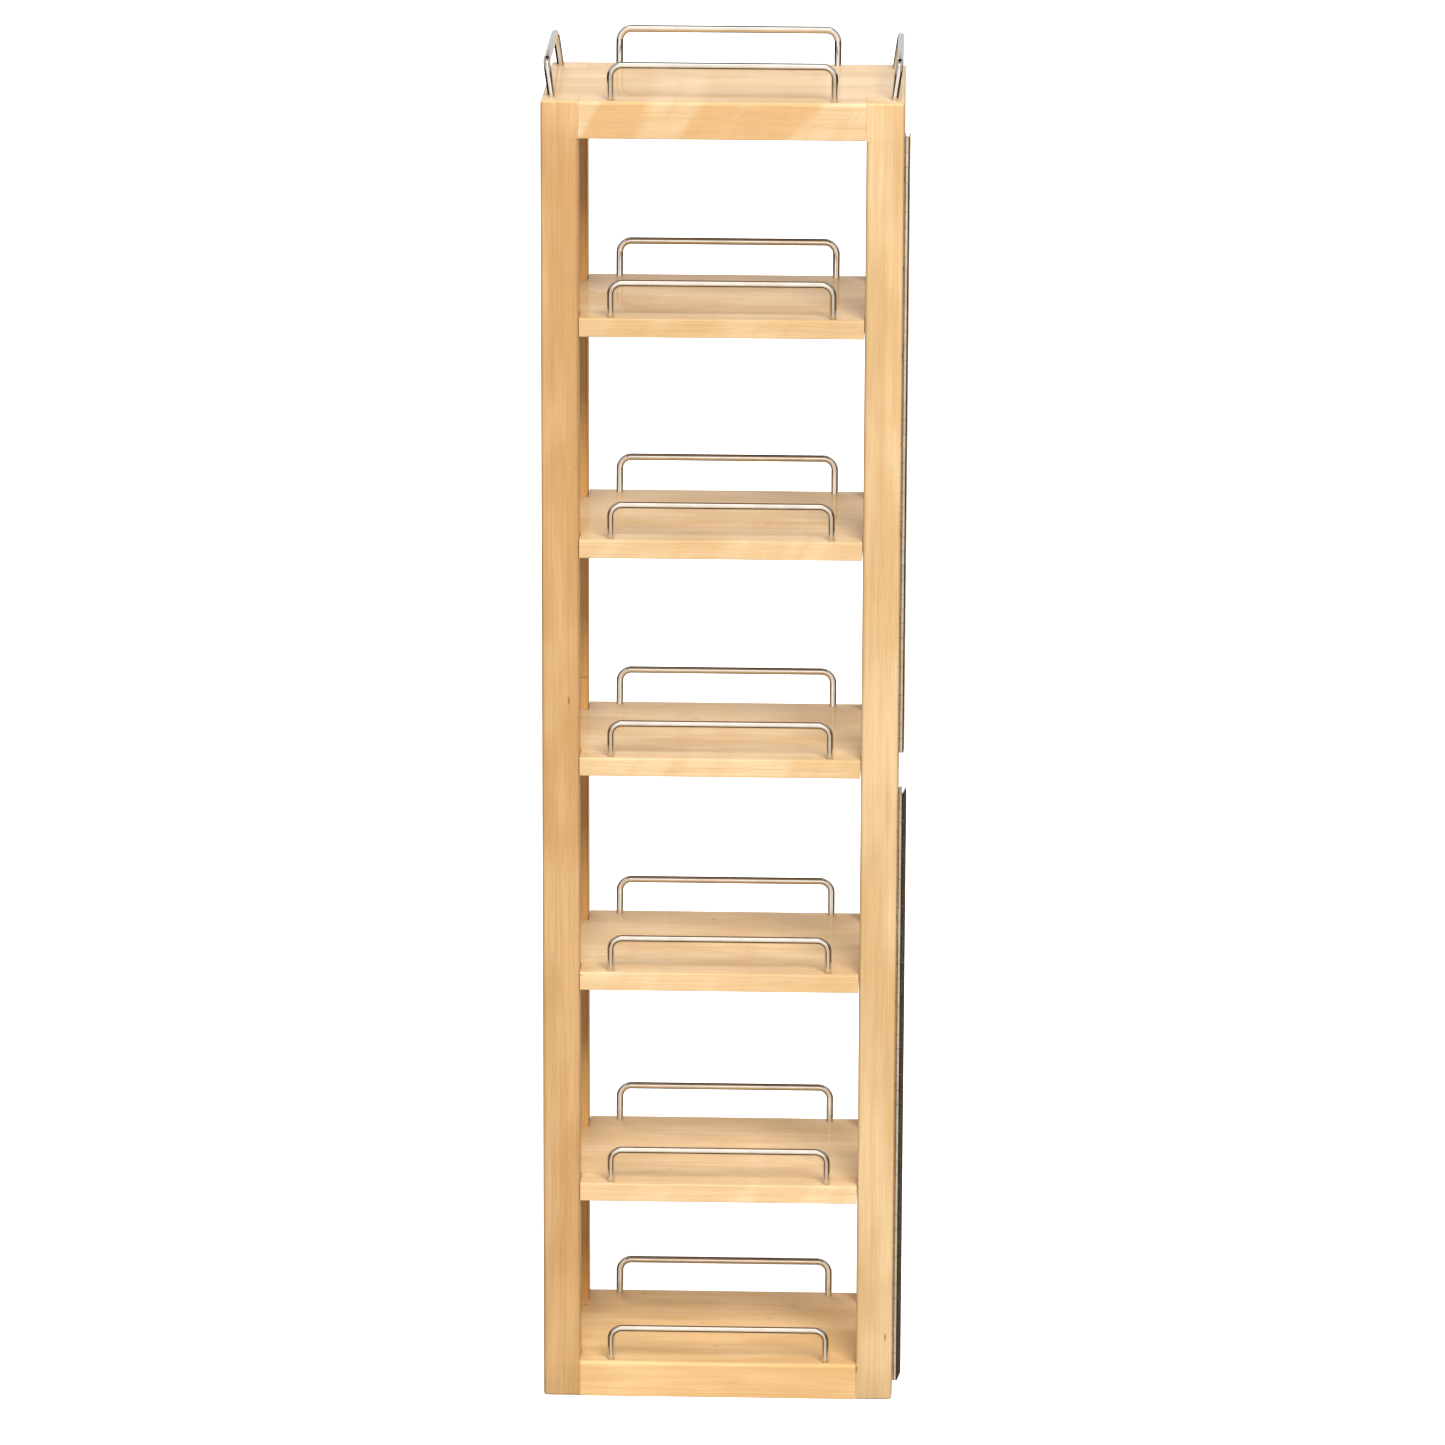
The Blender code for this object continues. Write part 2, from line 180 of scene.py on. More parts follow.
class Nodes:
    """A node tree and short names for the nodes that the materials use."""

    def __init__(self, name):
        self.material = bpy.data.materials.new(name)
        self.material.use_nodes = True
        self.tree = self.material.node_tree
        self.shader = self.tree.nodes["Principled BSDF"]

    def add(self, kind, inputs=(), **settings):
        node = self.tree.nodes.new(kind)
        for key, value in settings.items():
            setattr(node, key, value)
        for key, value in dict(inputs).items():
            self.put(node.inputs[key], value)
        return node

    def put(self, socket, value):
        if isinstance(value, bpy.types.NodeSocket):
            self.tree.links.new(value, socket)
        else:
            socket.default_value = value

    def set(self, **values):
        """Sets the shader's sockets: Base_Color=... and so on."""
        for key, value in values.items():
            self.put(self.shader.inputs[key.replace("_", " ")], value)

    def math(self, operation, a, b=0.0, clamp=False):
        return self.add("ShaderNodeMath", {0: a, 1: b}, operation=operation, use_clamp=clamp).outputs[0]

    def plus(self, a, b):
        return self.math("ADD", a, b)

    def minus(self, a, b):
        return self.math("SUBTRACT", a, b)

    def times(self, first, *others):
        for other in others:
            first = self.math("MULTIPLY", first, other)
        return first

    def axes(self, vector):
        return self.add("ShaderNodeSeparateXYZ", {0: vector}).outputs

    def vector(self, x, y, z):
        return self.add("ShaderNodeCombineXYZ", {0: x, 1: y, 2: z}).outputs[0]

    def stretched(self, vector, scale, shift=(0, 0, 0)):
        """vector times scale plus shift, for a noise that is longer one way."""
        inputs = {0: vector, 1: scale, 2: shift}
        return self.add("ShaderNodeVectorMath", inputs, operation="MULTIPLY_ADD").outputs[0]

    def place_in_mm(self):
        coordinates = self.add("ShaderNodeTexCoord").outputs["Object"]
        return self.stretched(coordinates, (1 / MM, 1 / MM, 1 / MM))

    def noise(self, vector, detail=2.0, roughness=0.5):
        inputs = {"Vector": vector, "Scale": 1.0, "Detail": detail, "Roughness": roughness, "Distortion": 0.0}
        return self.add("ShaderNodeTexNoise", inputs).outputs[0]

    def step(self, value, low, high, to_low=0.0, to_high=1.0):
        """A smooth ramp from to_low to to_high as value goes from low to high."""
        inputs = {0: value, 1: low, 2: high, 3: to_low, 4: to_high}
        return self.add("ShaderNodeMapRange", inputs, interpolation_type="SMOOTHSTEP").outputs[0]

    def blend(self, factor, a, b, mode="MIX"):
        node = self.add("ShaderNodeMix", data_type="RGBA", blend_type=mode)
        for index, value in ((0, factor), (6, a), (7, b)):
            self.put(node.inputs[index], value)
        return node.outputs[2]

    def bump(self, height, distance, strength=1.0):
        inputs = {"Height": height, "Distance": distance, "Strength": strength}
        return self.add("ShaderNodeBump", inputs).outputs[0]


def opaque(colour):
    return (*colour, 1.0)


def shade(colour, factors):
    return tuple(channel * factor for channel, factor in zip(colour, factors))


# ---------------------------------------------------------------- wood

LACQUER = {"Specular_IOR_Level": 0.22, "Coat_Weight": 0.45, "Coat_Roughness": 0.07}
WOOD_RELIEF = 0.06 * MM
GOLDEN = (0.92, 0.80, 0.64)  # the late wood and the streaks, as shares of the darker wood's colour
KNOT = 0.45  # a dark mark, as a share of the golden colour
SECOND_LENGTH = (700.0, 260.0)  # mm along and across the tree, from one length of a joined post to the other
SEAM = (0.25, 0.60)  # mm from the joint, where its dark line starts to fade and where it ends


def growth_rings(n, local, across, pith, rings, wander):
    """How much late wood there is: thin lines at each year's end, of uneven strength, round the pith."""
    stray = n.noise(n.stretched(local, (0.0045, 0.012, 0.012)), detail=2.0, roughness=0.5)
    ripple = n.noise(n.stretched(local, (0.018, 0.05, 0.05)), detail=2.0)
    off_a = n.plus(n.minus(across[0], pith[0]), n.times(stray, wander))
    off_b = n.plus(n.minus(across[1], pith[1]), n.times(ripple, wander * 0.2))
    squares = n.plus(n.times(off_a, off_a), n.times(off_b, off_b))
    years = n.math("DIVIDE", n.math("SQRT", squares), rings)
    year = n.math("FRACT", years)
    number = n.add("ShaderNodeTexWhiteNoise", {"W": n.math("FLOOR", years)}, noise_dimensions="1D").outputs[0]
    late = n.times(n.math("POWER", year, 5.0), n.step(year, 1.0, 0.93))
    return n.times(late, n.plus(n.times(number, 0.8), 0.25))


def curl(n, local, normal_y, strength):
    """Curly figure: slanting golden bands across the grain, strongest on the front and back."""
    along, _, up = n.axes(local)
    slanted = n.minus(along, n.times(up, 0.62))
    wide = n.noise(n.vector(n.times(slanted, 0.026), n.times(up, 0.006), 3.7), detail=1.5)
    fine = n.noise(n.vector(n.times(slanted, 0.10), n.times(up, 0.012), 9.1), detail=2.0)
    bands = n.math("ADD", n.step(wide, 0.44, 0.58), n.step(fine, 0.45, 0.7, -0.1, 0.35), clamp=True)
    shown = n.step(n.math("ABSOLUTE", normal_y), 0.3, 0.9, 0.45, 1.0)
    return n.times(bands, shown, strength)


def wood(name, along, pith, light, dark, shift, rings=3.2, wander=40.0, figure=0.0, joint=None, ends=None):
    """Lacquered birch, as a solid texture, so that edges and ends show the same boards' grain.

    along is the grain's axis, pith the (across, across) place of the tree's centre in mm, shift moves the
    pattern, rings is the width of a year's growth in mm, wander how far the rings stray in mm, figure the
    strength of the curl, ends the colour of the end grain, and joint the height in mm where two lengths of
    wood meet end to end.
    """
    n = Nodes(name)
    x, y, z = n.axes(n.place_in_mm())
    normal_x, normal_y, normal_z = n.axes(n.add("ShaderNodeTexCoord").outputs["Normal"])
    grain, a, b = (x, y, z) if along == "X" else (z, x, y)
    end_normal = normal_x if along == "X" else normal_z
    if joint is not None:
        above = n.math("GREATER_THAN", grain, joint)
        grain = n.plus(grain, n.times(above, SECOND_LENGTH[0]))
        a = n.plus(a, n.times(above, SECOND_LENGTH[1]))
    local = n.stretched(n.vector(grain, a, b), (1, 1, 1), shift)
    late = growth_rings(n, local, (a, b), pith, rings, wander)

    # Fibres, short pores, broad patches of colour and rare dark marks
    fibre = n.noise(n.stretched(local, (0.022, 1.3, 1.3)), detail=3.0, roughness=0.65)
    streak = n.noise(n.stretched(local, (0.004, 0.28, 0.28)), detail=3.0, roughness=0.6)
    pore = n.step(n.noise(n.stretched(local, (0.14, 2.4, 2.4)), detail=1.0), 0.62, 0.78)
    patch = n.noise(n.stretched(local, (0.006, 0.020, 0.020)), detail=2.0, roughness=0.6)
    marks = n.add("ShaderNodeTexVoronoi", {"Vector": n.stretched(local, (0.012, 0.045, 0.045)), "Scale": 1.0})
    mark = n.step(marks.outputs["Distance"], 0.03, 0.055, 1.0, 0.0)

    golden = shade(dark, GOLDEN)
    base = n.blend(n.step(patch, 0.38, 0.62), opaque(light), opaque(dark))
    base = n.blend(n.step(streak, 0.42, 0.75, 0.0, 0.5), base, opaque(golden))
    base = n.blend(n.times(late, 0.5), base, opaque(golden))
    if figure:
        base = n.blend(curl(n, local, normal_y, figure), base, opaque(golden))
    base = n.blend(n.times(mark, 0.75), base, opaque(channel * KNOT for channel in golden))
    if ends:
        base = n.blend(n.step(n.math("ABSOLUTE", end_normal), 0.6, 0.95), base, opaque(ends))
    value = n.minus(n.step(fibre, 0.25, 0.75, 0.90, 1.07), n.times(pore, 0.14))
    if joint is not None:
        seam = n.step(n.math("ABSOLUTE", n.minus(z, joint)), *SEAM, 1.0, 0.0)
        value = n.times(value, n.minus(1.0, n.times(seam, 0.6)))
    height = n.minus(n.minus(n.times(fibre, 0.5), n.times(pore, 0.5)), n.times(late, 0.3))
    n.set(
        Base_Color=n.blend(1.0, base, n.vector(value, value, value), mode="MULTIPLY"),
        Roughness=n.step(fibre, 0.2, 0.8, 0.40, 0.55),
        Normal=n.bump(height, WOOD_RELIEF, 0.5),
        **LACQUER,
    )
    return n.material


# ---------------------------------------------------------------- metals

CHROME = ((0.68, 0.64, 0.59, 1), (0.60, 0.56, 0.51, 1))  # clean and smeared
NICKEL = ((0.66, 0.62, 0.58, 1), (0.52, 0.49, 0.46, 1))  # bright and dull
ZINC = ((0.64, 0.62, 0.60, 1), (0.50, 0.49, 0.48, 1))


def chrome():
    """Bright plated wire, with the faint smears that handling leaves."""
    n = Nodes("rail_chrome")
    place = n.place_in_mm()
    smear = n.noise(n.stretched(place, (0.05, 0.05, 0.08)), detail=3.0, roughness=0.6)
    grain = n.noise(n.stretched(place, (1.4, 1.4, 1.4)), detail=2.0)
    n.set(
        Base_Color=n.blend(n.step(smear, 0.3, 0.7), *CHROME),
        Metallic=1.0,
        Roughness=n.step(smear, 0.25, 0.8, 0.03, 0.07),
        Normal=n.bump(grain, 0.012 * MM, 0.25),
    )
    return n.material


def hinge_metal():
    """Nickel-plated rolled steel, with rolling marks along the strip and dull spots."""
    n = Nodes("hinge_steel")
    place = n.place_in_mm()
    rolled = n.noise(n.stretched(place, (2.2, 2.2, 0.03)), detail=3.0, roughness=0.6)
    spots = n.noise(n.stretched(place, (0.12, 0.12, 0.05)), detail=4.0, roughness=0.65)
    n.set(
        Base_Color=n.blend(n.step(spots, 0.35, 0.65), *NICKEL),
        Metallic=1.0,
        Roughness=n.step(n.plus(rolled, n.times(spots, 0.5)), 0.5, 1.0, 0.08, 0.20),
        Normal=n.bump(rolled, 0.02 * MM, 0.3),
    )
    return n.material


def pin_metal():
    """Zinc-plated steel of the shelf pins, hinge pins and screws."""
    n = Nodes("pin_steel")
    place = n.place_in_mm()
    spots = n.noise(n.stretched(place, (0.5, 0.5, 0.5)), detail=4.0, roughness=0.6)
    n.set(
        Base_Color=n.blend(n.step(spots, 0.3, 0.7), *ZINC),
        Metallic=1.0,
        Roughness=n.step(spots, 0.2, 0.8, 0.22, 0.36),
        Normal=n.bump(spots, 0.02 * MM, 0.4),
    )
    return n.material


# ---------------------------------------------------------------- woodwork


def arc_points(x, y, radius, first_degrees):
    """The corner of a rectangle at (x, y), rounded, as ARC_STEPS + 1 points."""
    out_x = math.copysign(1, math.cos(math.radians(first_degrees + 45)))
    out_y = math.copysign(1, math.sin(math.radians(first_degrees + 45)))
    points = []
    for step in range(ARC_STEPS + 1):
        turn = math.radians(first_degrees + 90 * step / ARC_STEPS)
        centre = (x - out_x * radius, y - out_y * radius)
        points.append((centre[0] + radius * math.cos(turn), centre[1] + radius * math.sin(turn)))
    return points


def post_levels(low, high, board):
    """(height, inset of the two outer faces, radius of the other three arrises) up a post.

    The ends are eased, and the inner arrises run out where the boards are glued in.
    """
    levels = []
    for step in range(ARC_STEPS + 1):
        turn = math.pi / 2 * step / ARC_STEPS
        inset = END_ARRIS * (1 - math.sin(turn))
        levels.append((END_ARRIS * (1 - math.cos(turn)), inset, BIT))
    levels.append((board, 0.0, BIT))
    for step in range(1, ARC_STEPS + 1):
        turn = math.pi / 2 * step / ARC_STEPS
        levels.append((board + ARRIS * (1 - math.cos(turn)), 0.0, max(BIT, ARRIS * math.sin(turn))))
    bottom = [(low + rise, inset, radius) for rise, inset, radius in levels]
    top = [(high - rise, inset, radius) for rise, inset, radius in reversed(levels)]
    return bottom + top


def make_post(end, side, material):
    name = f"post_{end}_{side}"
    sx, sy = SIDES[side], ENDS[end]
    low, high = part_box(name)
    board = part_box("bottom_board")[1].z - low.z
    outer = Vector((max(abs(low.x), abs(high.x)), max(abs(low.y), abs(high.y))))
    inner = Vector((min(abs(low.x), abs(high.x)), min(abs(low.y), abs(high.y))))
    rings = []
    for z, inset, radius in post_levels(low.z, high.z, board):
        far = outer - Vector((inset, inset))
        corners = (
            arc_points(far.x, far.y, ARRIS, 0)
            + arc_points(inner.x, far.y, radius, 90)
            + arc_points(inner.x, inner.y, radius, 180)
            + arc_points(far.x, inner.y, radius, 270)
        )
        rings.append([Vector((sx * x, sy * y, z)) for x, y in corners])
    bm = bmesh.new()
    skin_rings(bm, rings)
    piece = finish_piece(f"{name}_wood", bm, material, "frame", [name])
    cutter = bmesh.new()
    add_pin_holes(cutter, end, side)
    add_foot_holes(cutter, [foot for foot in side_rail_feet(sx) if foot[0].y * sy > 0])
    cut_away(piece, cutter)


def add_foot_holes(cutter, feet):
    """The holes in the wood for the legs of the rails."""
    profile = ((-FOOT_DEPTH, FOOT_HOLE_R), (WIRE_R, FOOT_HOLE_R))
    for point, up in feet:
        add_turned(cutter, profile, facing(point, up), WIRE_SIDES)


def pin_axis(level, end, side):
    """(point on the face of the post, direction out of it) of a shelf pin."""
    low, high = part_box(f"shelf_{level + 1}_pin_{end}_{side}")
    middle = (low + high) / 2
    sy = ENDS[end]
    face = min(abs(edge.y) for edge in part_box(f"post_{end}_{side}"))
    return Vector((middle.x, sy * face, middle.z)), Vector((0, -sy, 0))


def add_pin_holes(cutter, end, side):
    """Three holes at each shelf, one of them in use, with a slightly eased mouth."""
    radius = SHELF_PIN_R + HOLE_PLAY
    profile = ((-HOLE_DEPTH, radius), (-HOLE_MOUTH, radius), (HOLE_MOUTH, radius + 2 * HOLE_MOUTH))
    for level in range(LEVELS):
        point, out = pin_axis(level, end, side)
        for step in (-1, 0, 1):
            add_turned(cutter, profile, facing(point + Vector((0, 0, step * HOLE_PITCH)), out), TURNED_SIDES)


def notched_outline(half, notch):
    """A rectangle with its corners cut out round the posts, anticlockwise from the front right."""
    quarter = ((notch.x, -half.y), (notch.x, -notch.y), (half.x, -notch.y))
    right = quarter + tuple((x, -y) for x, y in reversed(quarter))
    return right + tuple((-x, -y) for x, y in right)


def make_board(name, body, material, joint_gap, arris, notch_arris):
    """A board or shelf, rounded over on top by arris, eased below, and notched round the posts."""
    low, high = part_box(name)
    half = Vector((high.x, high.y))
    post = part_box("post_back_right")[0]
    notch = Vector((post.x - joint_gap, post.y - joint_gap))
    bm = bmesh.new()
    outline = notched_outline(half, notch)
    skin_rings(bm, [[Vector((x, y, z)) for x, y in outline] for z in (low.z, high.z)])
    weights = bm.edges.layers.float.new("bevel_weight_edge")
    for edge in bm.edges:
        edge[weights] = edge_radius(edge, half, high.z, arris, notch_arris) / arris
    piece = finish_piece(f"{name}_wood", bm, material, body, [name])
    bevel = piece.modifiers.new("arris", "BEVEL")
    bevel.limit_method = "WEIGHT"
    bevel.width = arris
    bevel.segments = ARC_STEPS
    bevel.miter_outer = "MITER_ARC"
    bevel.use_clamp_overlap = True
    bevel.harden_normals = False
    cutter = bmesh.new()
    for end in ENDS:
        rail = f"{name.replace('_board', '')}_rail_{end}"
        add_foot_holes(cutter, long_rail_feet(rail, high.z))
    cut_away(piece, cutter)


def edge_radius(edge, half, top, arris, notch_arris):
    """How far a board's edge is rounded: arris on top, less underneath, notch_arris round the posts."""
    a, b = (vert.co for vert in edge.verts)
    level = abs(a.z - b.z) < BIT
    exposed = (abs(abs(a.y) - half.y) < BIT and abs(a.y - b.y) < BIT) or (
        abs(abs(a.x) - half.x) < BIT and abs(a.x - b.x) < BIT
    )
    if level and exposed:
        return arris if abs(a.z - top) < BIT else SMALL_ARRIS
    return notch_arris


# ---------------------------------------------------------------- rails


def long_rail_feet(node, top):
    """(point on the wood, upward direction) of the legs of a front or back rail."""
    low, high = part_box(node)
    sy = math.copysign(1, low.y + high.y)
    reach = high.x - WIRE_R
    up = Vector((0, sy * math.sin(RAIL_LEAN), math.cos(RAIL_LEAN)))
    bar = max(abs(low.y), abs(high.y)) - WIRE_R
    rise = high.z - WIRE_R - top
    y = sy * (bar - rise * math.tan(RAIL_LEAN))
    return [(Vector((s * reach, y, top)), up) for s in (-1, 1)]


def side_rail_feet(sx):
    """The same for a rail on one end of the top, which stands on the ends of two posts."""
    low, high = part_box("top_rail_left" if sx < 0 else "top_rail_right")
    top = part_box("post_front_left")[1].z
    up = Vector((sx * math.sin(RAIL_LEAN), 0, math.cos(RAIL_LEAN)))
    bar = max(abs(low.x), abs(high.x)) - WIRE_R
    x = sx * (bar - (high.z - WIRE_R - top) * math.tan(RAIL_LEAN))
    return [(Vector((x, s * (high.y - WIRE_R), top)), up) for s in (-1, 1)]


def rail_path(reach, height):
    """(across, up, direction) stations of the bent wire in its own plane."""
    stations = [(-reach, FOOT_SHORT - FOOT_DEPTH, math.pi / 2), (-reach, 0.0, math.pi / 2)]
    for side in (-1, 1):
        centre = side * (reach - RAIL_BEND)
        for step in range(BEND_STEPS + 1):
            turned = math.pi / 2 * step / BEND_STEPS
            turn = math.pi / 2 - turned if side < 0 else -turned
            across = centre - RAIL_BEND * math.sin(turn)
            stations.append((across, height - RAIL_BEND + RAIL_BEND * math.cos(turn), turn))
    return stations + [(reach, 0.0, -math.pi / 2), (reach, FOOT_SHORT - FOOT_DEPTH, -math.pi / 2)]


def make_rail(node, body, feet, material):
    (left, up), (right, _) = feet
    middle, along = (left + right) / 2, (right - left).normalized()
    reach = (right - left).length / 2
    height = (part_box(node)[1].z - WIRE_R - left.z) / up.z
    normal = along.cross(up)
    angles = [2 * math.pi * i / WIRE_SIDES for i in range(WIRE_SIDES)]
    rings = []
    for across, rise, turn in rail_path(reach, height):
        centre = middle + along * across + up * rise
        side = up * math.cos(turn) - along * math.sin(turn)
        rings.append([centre + WIRE_R * (side * math.cos(a) + normal * math.sin(a)) for a in angles])
    bm = bmesh.new()
    skin_rings(bm, rings)
    finish_piece(f"{node}_wire", bm, material, body, [node], smooth=60)


# ---------------------------------------------------------------- shelf pins


def make_shelf_pin(level, end, side, material):
    node = f"shelf_{level + 1}_pin_{end}_{side}"
    point, out = pin_axis(level, end, side)
    low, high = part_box(node)
    length = (high - low).y
    inside = abs((high if ENDS[end] > 0 else low).y - point.y)
    tip, r = length - inside, SHELF_PIN_R
    turns = (0, 0.5, 1.0, 1.4)  # radians round the nose
    nose = [(tip - PIN_NOSE * (1 - math.sin(t)), r - PIN_NOSE * (1 - math.cos(t))) for t in turns]
    groove = [(place, r - depth) for place, depth in PIN_GROOVE]
    bm = bmesh.new()
    profile = ((PIN_SHORT - inside, r - 0.05 * MM), *groove, *nose)
    add_turned(bm, profile, facing(point, out), TURNED_SIDES)
    finish_piece(f"{node}_turned", bm, material, "frame", [node])


# ---------------------------------------------------------------- hinges


def hinge_facts(which):
    """Where a hinge's pin stands and how far its loose leaf is open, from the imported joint."""
    joint = next(j for j in frame["joints"] if j["name"] == f"{which}_hinge")
    low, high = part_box(f"hinge_{which}_fixed_leaf")
    pin = Vector((joint["pos_m"][0], joint["pos_m"][1], low.z))
    width = high.y - pin.y
    return pin, high.z - low.z, width, math.radians(-joint["range_deg"][0])


def leaf_outline(side):
    """The rolled strip seen along the pin, from the plate's outer root round the eye to its inner root."""
    inner_r = EYE_R - LEAF_THICK
    turns = [EYE_TURN * k / EYE_STEPS for k in range(EYE_STEPS + 1)]
    outside = [Vector((side * EYE_R * math.cos(t), -EYE_R * math.sin(t))) for t in turns]
    inside = [Vector((side * inner_r * math.cos(t), -inner_r * math.sin(t))) for t in reversed(turns)]
    root = [Vector((side * EYE_R, LEAF_ROOT)), Vector((side * inner_r, LEAF_ROOT))]
    return [root[0], *outside, *inside, root[1]]


def leaf_levels(first, pitch):
    """(bottom, top, rolled) of each stretch; rolled ones carry a knuckle of this leaf."""
    levels = []
    for k in range(KNUCKLES):
        rolled = k % 2 == first
        trim = KNUCKLE_PLAY if rolled else -KNUCKLE_PLAY
        low = k * pitch + (trim if k else 0)
        high = (k + 1) * pitch - (trim if k < KNUCKLES - 1 else 0)
        levels.append((low, high, rolled))
    return levels


def add_leaf(bm, side, first, width, pitch):
    """A comb-shaped plate with a rolled eye on every second stretch, as one skin."""
    outline = leaf_outline(side)
    edge = [Vector((side * (EYE_R - LEAF_THICK), width)), Vector((side * EYE_R, width))]
    levels = leaf_levels(first, pitch)
    heights = [levels[0][0]] + [high for _, high, _ in levels]
    rows = [[bm.verts.new((*p, z)) for p in (outline[0], outline[-1], *edge)] for z in heights]
    for index, (low, high, rolled) in enumerate(levels):
        below, above = rows[index], rows[index + 1]
        for i in (1, 2, 3):
            j = (i + 1) % 4
            bm.faces.new((below[i], below[j], above[j], above[i]))
        if not rolled:
            bm.faces.new((below[0], below[1], above[1], above[0]))
            continue
        eyes = []
        for z, row in ((low, below), (high, above)):
            eyes.append([row[0], *(bm.verts.new((*p, z)) for p in outline[1:-1]), row[1]])
        for i in range(len(outline) - 1):
            bm.faces.new((eyes[0][i], eyes[0][i + 1], eyes[1][i + 1], eyes[1][i]))
        bm.faces.new(eyes[0])
        bm.faces.new(eyes[1][::-1])
    bm.faces.new(rows[0])
    bm.faces.new(rows[-1][::-1])


def leaf_hole_heights(length):
    """The screw holes stand every six knuckles, centred on the leaf."""
    pitch = 6 * length / KNUCKLES
    first = (length - (LEAF_HOLES - 1) * pitch) / 2
    return [first + k * pitch for k in range(LEAF_HOLES)]


def make_leaf(which, kind, material):
    pin, length, width, opened = hinge_facts(which)
    moving = kind == "moving"
    side = 1 if moving else -1
    body = f"{which}_leaf" if moving else "frame"
    placed = Matrix.Translation(pin) @ Matrix.Rotation(-opened if moving else 0.0, 4, "Z")
    bm = bmesh.new()
    add_leaf(bm, side, 1 if moving else 0, width, length / KNUCKLES)
    bmesh.ops.transform(bm, matrix=placed, verts=bm.verts)
    node = f"hinge_{which}_{kind}_leaf"
    piece = finish_piece(f"{node}_strip", bm, material, body, [node])
    cutter = bmesh.new()
    shank, head = SCREW_R + 0.5 * MM, SCREW_HEAD_R + 0.25 * MM
    hole = ((-3.0 * MM, shank), (-1.0 * MM, shank), (0.3 * MM, head))
    for z in leaf_hole_heights(length):
        mouth = placed @ Vector((side * (EYE_R - LEAF_THICK), HOLE_ROW, z))
        away = placed.to_3x3() @ Vector((-side, 0, 0))
        add_turned(cutter, hole, facing(mouth, away), TURNED_SIDES)
    cut_away(piece, cutter)


def make_screws(which, material):
    """Countersunk screws with a cross recess, flush in the fixed leaf."""
    pin, length, _, _ = hinge_facts(which)
    heights = leaf_hole_heights(length)
    nodes = {0: 1, (LEAF_HOLES - 1) // 2: 2, LEAF_HOLES - 1: 3}
    profile = (
        (-SCREW_LENGTH, 0.4 * MM),
        (SCREW_TAPER - SCREW_LENGTH, SCREW_R),
        (-SCREW_HEAD_DEPTH, SCREW_R),
        (-0.15 * MM, SCREW_HEAD_R - 0.1 * MM),
        (0.0, SCREW_HEAD_R - 0.25 * MM),
    )
    for index, z in enumerate(heights):
        spot = pin + Vector((-EYE_R + LEAF_THICK, HOLE_ROW, z))
        bm = bmesh.new()
        add_turned(bm, profile, facing(spot, (1, 0, 0)), TURNED_SIDES)
        name = f"hinge_{which}_wood_screw_{index + 1}"
        node = [f"hinge_{which}_screw_{nodes[index]}"] if index in nodes else []
        piece = finish_piece(name, bm, material, "frame", node)
        recess = bmesh.new()
        add_cross(recess, spot)
        cut_away(piece, recess)


def add_cross(bm, spot):
    """The cross-shaped bar that leaves a screw's recess, along X."""
    long, short = RECESS_REACH, RECESS_BAR
    quarter = ((long, short), (short, short), (short, long))
    outline = []
    for turn in range(4):
        outline += [Vector(point) for point in quarter]
        quarter = [(-b, a) for a, b in quarter]
    skin_rings(bm, [[spot + Vector((x, *point)) for point in outline] for x in (-RECESS_DEPTH, RECESS_DEPTH)])


def make_hinge_pin(which, material):
    pin, _, _, _ = hinge_facts(which)
    node = f"hinge_{which}_pin"
    low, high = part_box(node)
    r = HINGE_PIN_R
    profile = ((low.z, r - 0.2 * MM), (low.z + 0.2 * MM, r), (high.z - 0.3 * MM, r), (high.z, r - 0.3 * MM))
    bm = bmesh.new()
    add_turned(bm, profile, Matrix.Translation((pin.x, pin.y, 0)), TURNED_SIDES)
    finish_piece(f"{node}_wire", bm, material, "frame", [node])


# ---------------------------------------------------------------- the object

POST_LIGHT = (0.590, 0.390, 0.195)
POST_DARK = (0.500, 0.305, 0.132)
END_GRAIN = (0.640, 0.440, 0.235)
BOARD_LIGHT = (0.690, 0.510, 0.305)
BOARD_DARK = (0.595, 0.410, 0.215)
POST_JOINT = 609.5  # mm, the height where the back left post's two lengths meet

# Shares of red, green and blue that tell one piece of wood from another; some of them also carry painted
# light and shade, as said where they stand
# The third share is painted shade: it makes the back left post darker and warmer, as if shaded by the front
# post and lit by warm light bounced off the wood
PALE, WARM, PAINTED_SHADE_DEEP = (1.09, 1.16, 1.26), (0.93, 0.88, 0.82), (1.10, 0.96, 0.66)
TOP_TONE, BOTTOM_TONE = (1.0, 1.0, 1.03), (1.06, 0.965, 0.80)
# Painted light and shade on the shelves: the highest darker and warmer as painted shade, the lowest lighter
# as painted light, and those between blended level by level
HIGHEST_SHELF_PAINTED_SHADE, LOWEST_SHELF_PAINTED_LIGHT = (0.94, 0.91, 0.85), (1.09, 1.08, 1.07)


def make_board_wood(name, pith, tone, shift, rings, figure):
    light, dark = shade(BOARD_LIGHT, tone), shade(BOARD_DARK, tone)
    return wood(f"wood_{name}", "X", pith, light, dark, shift, rings=rings, figure=figure)


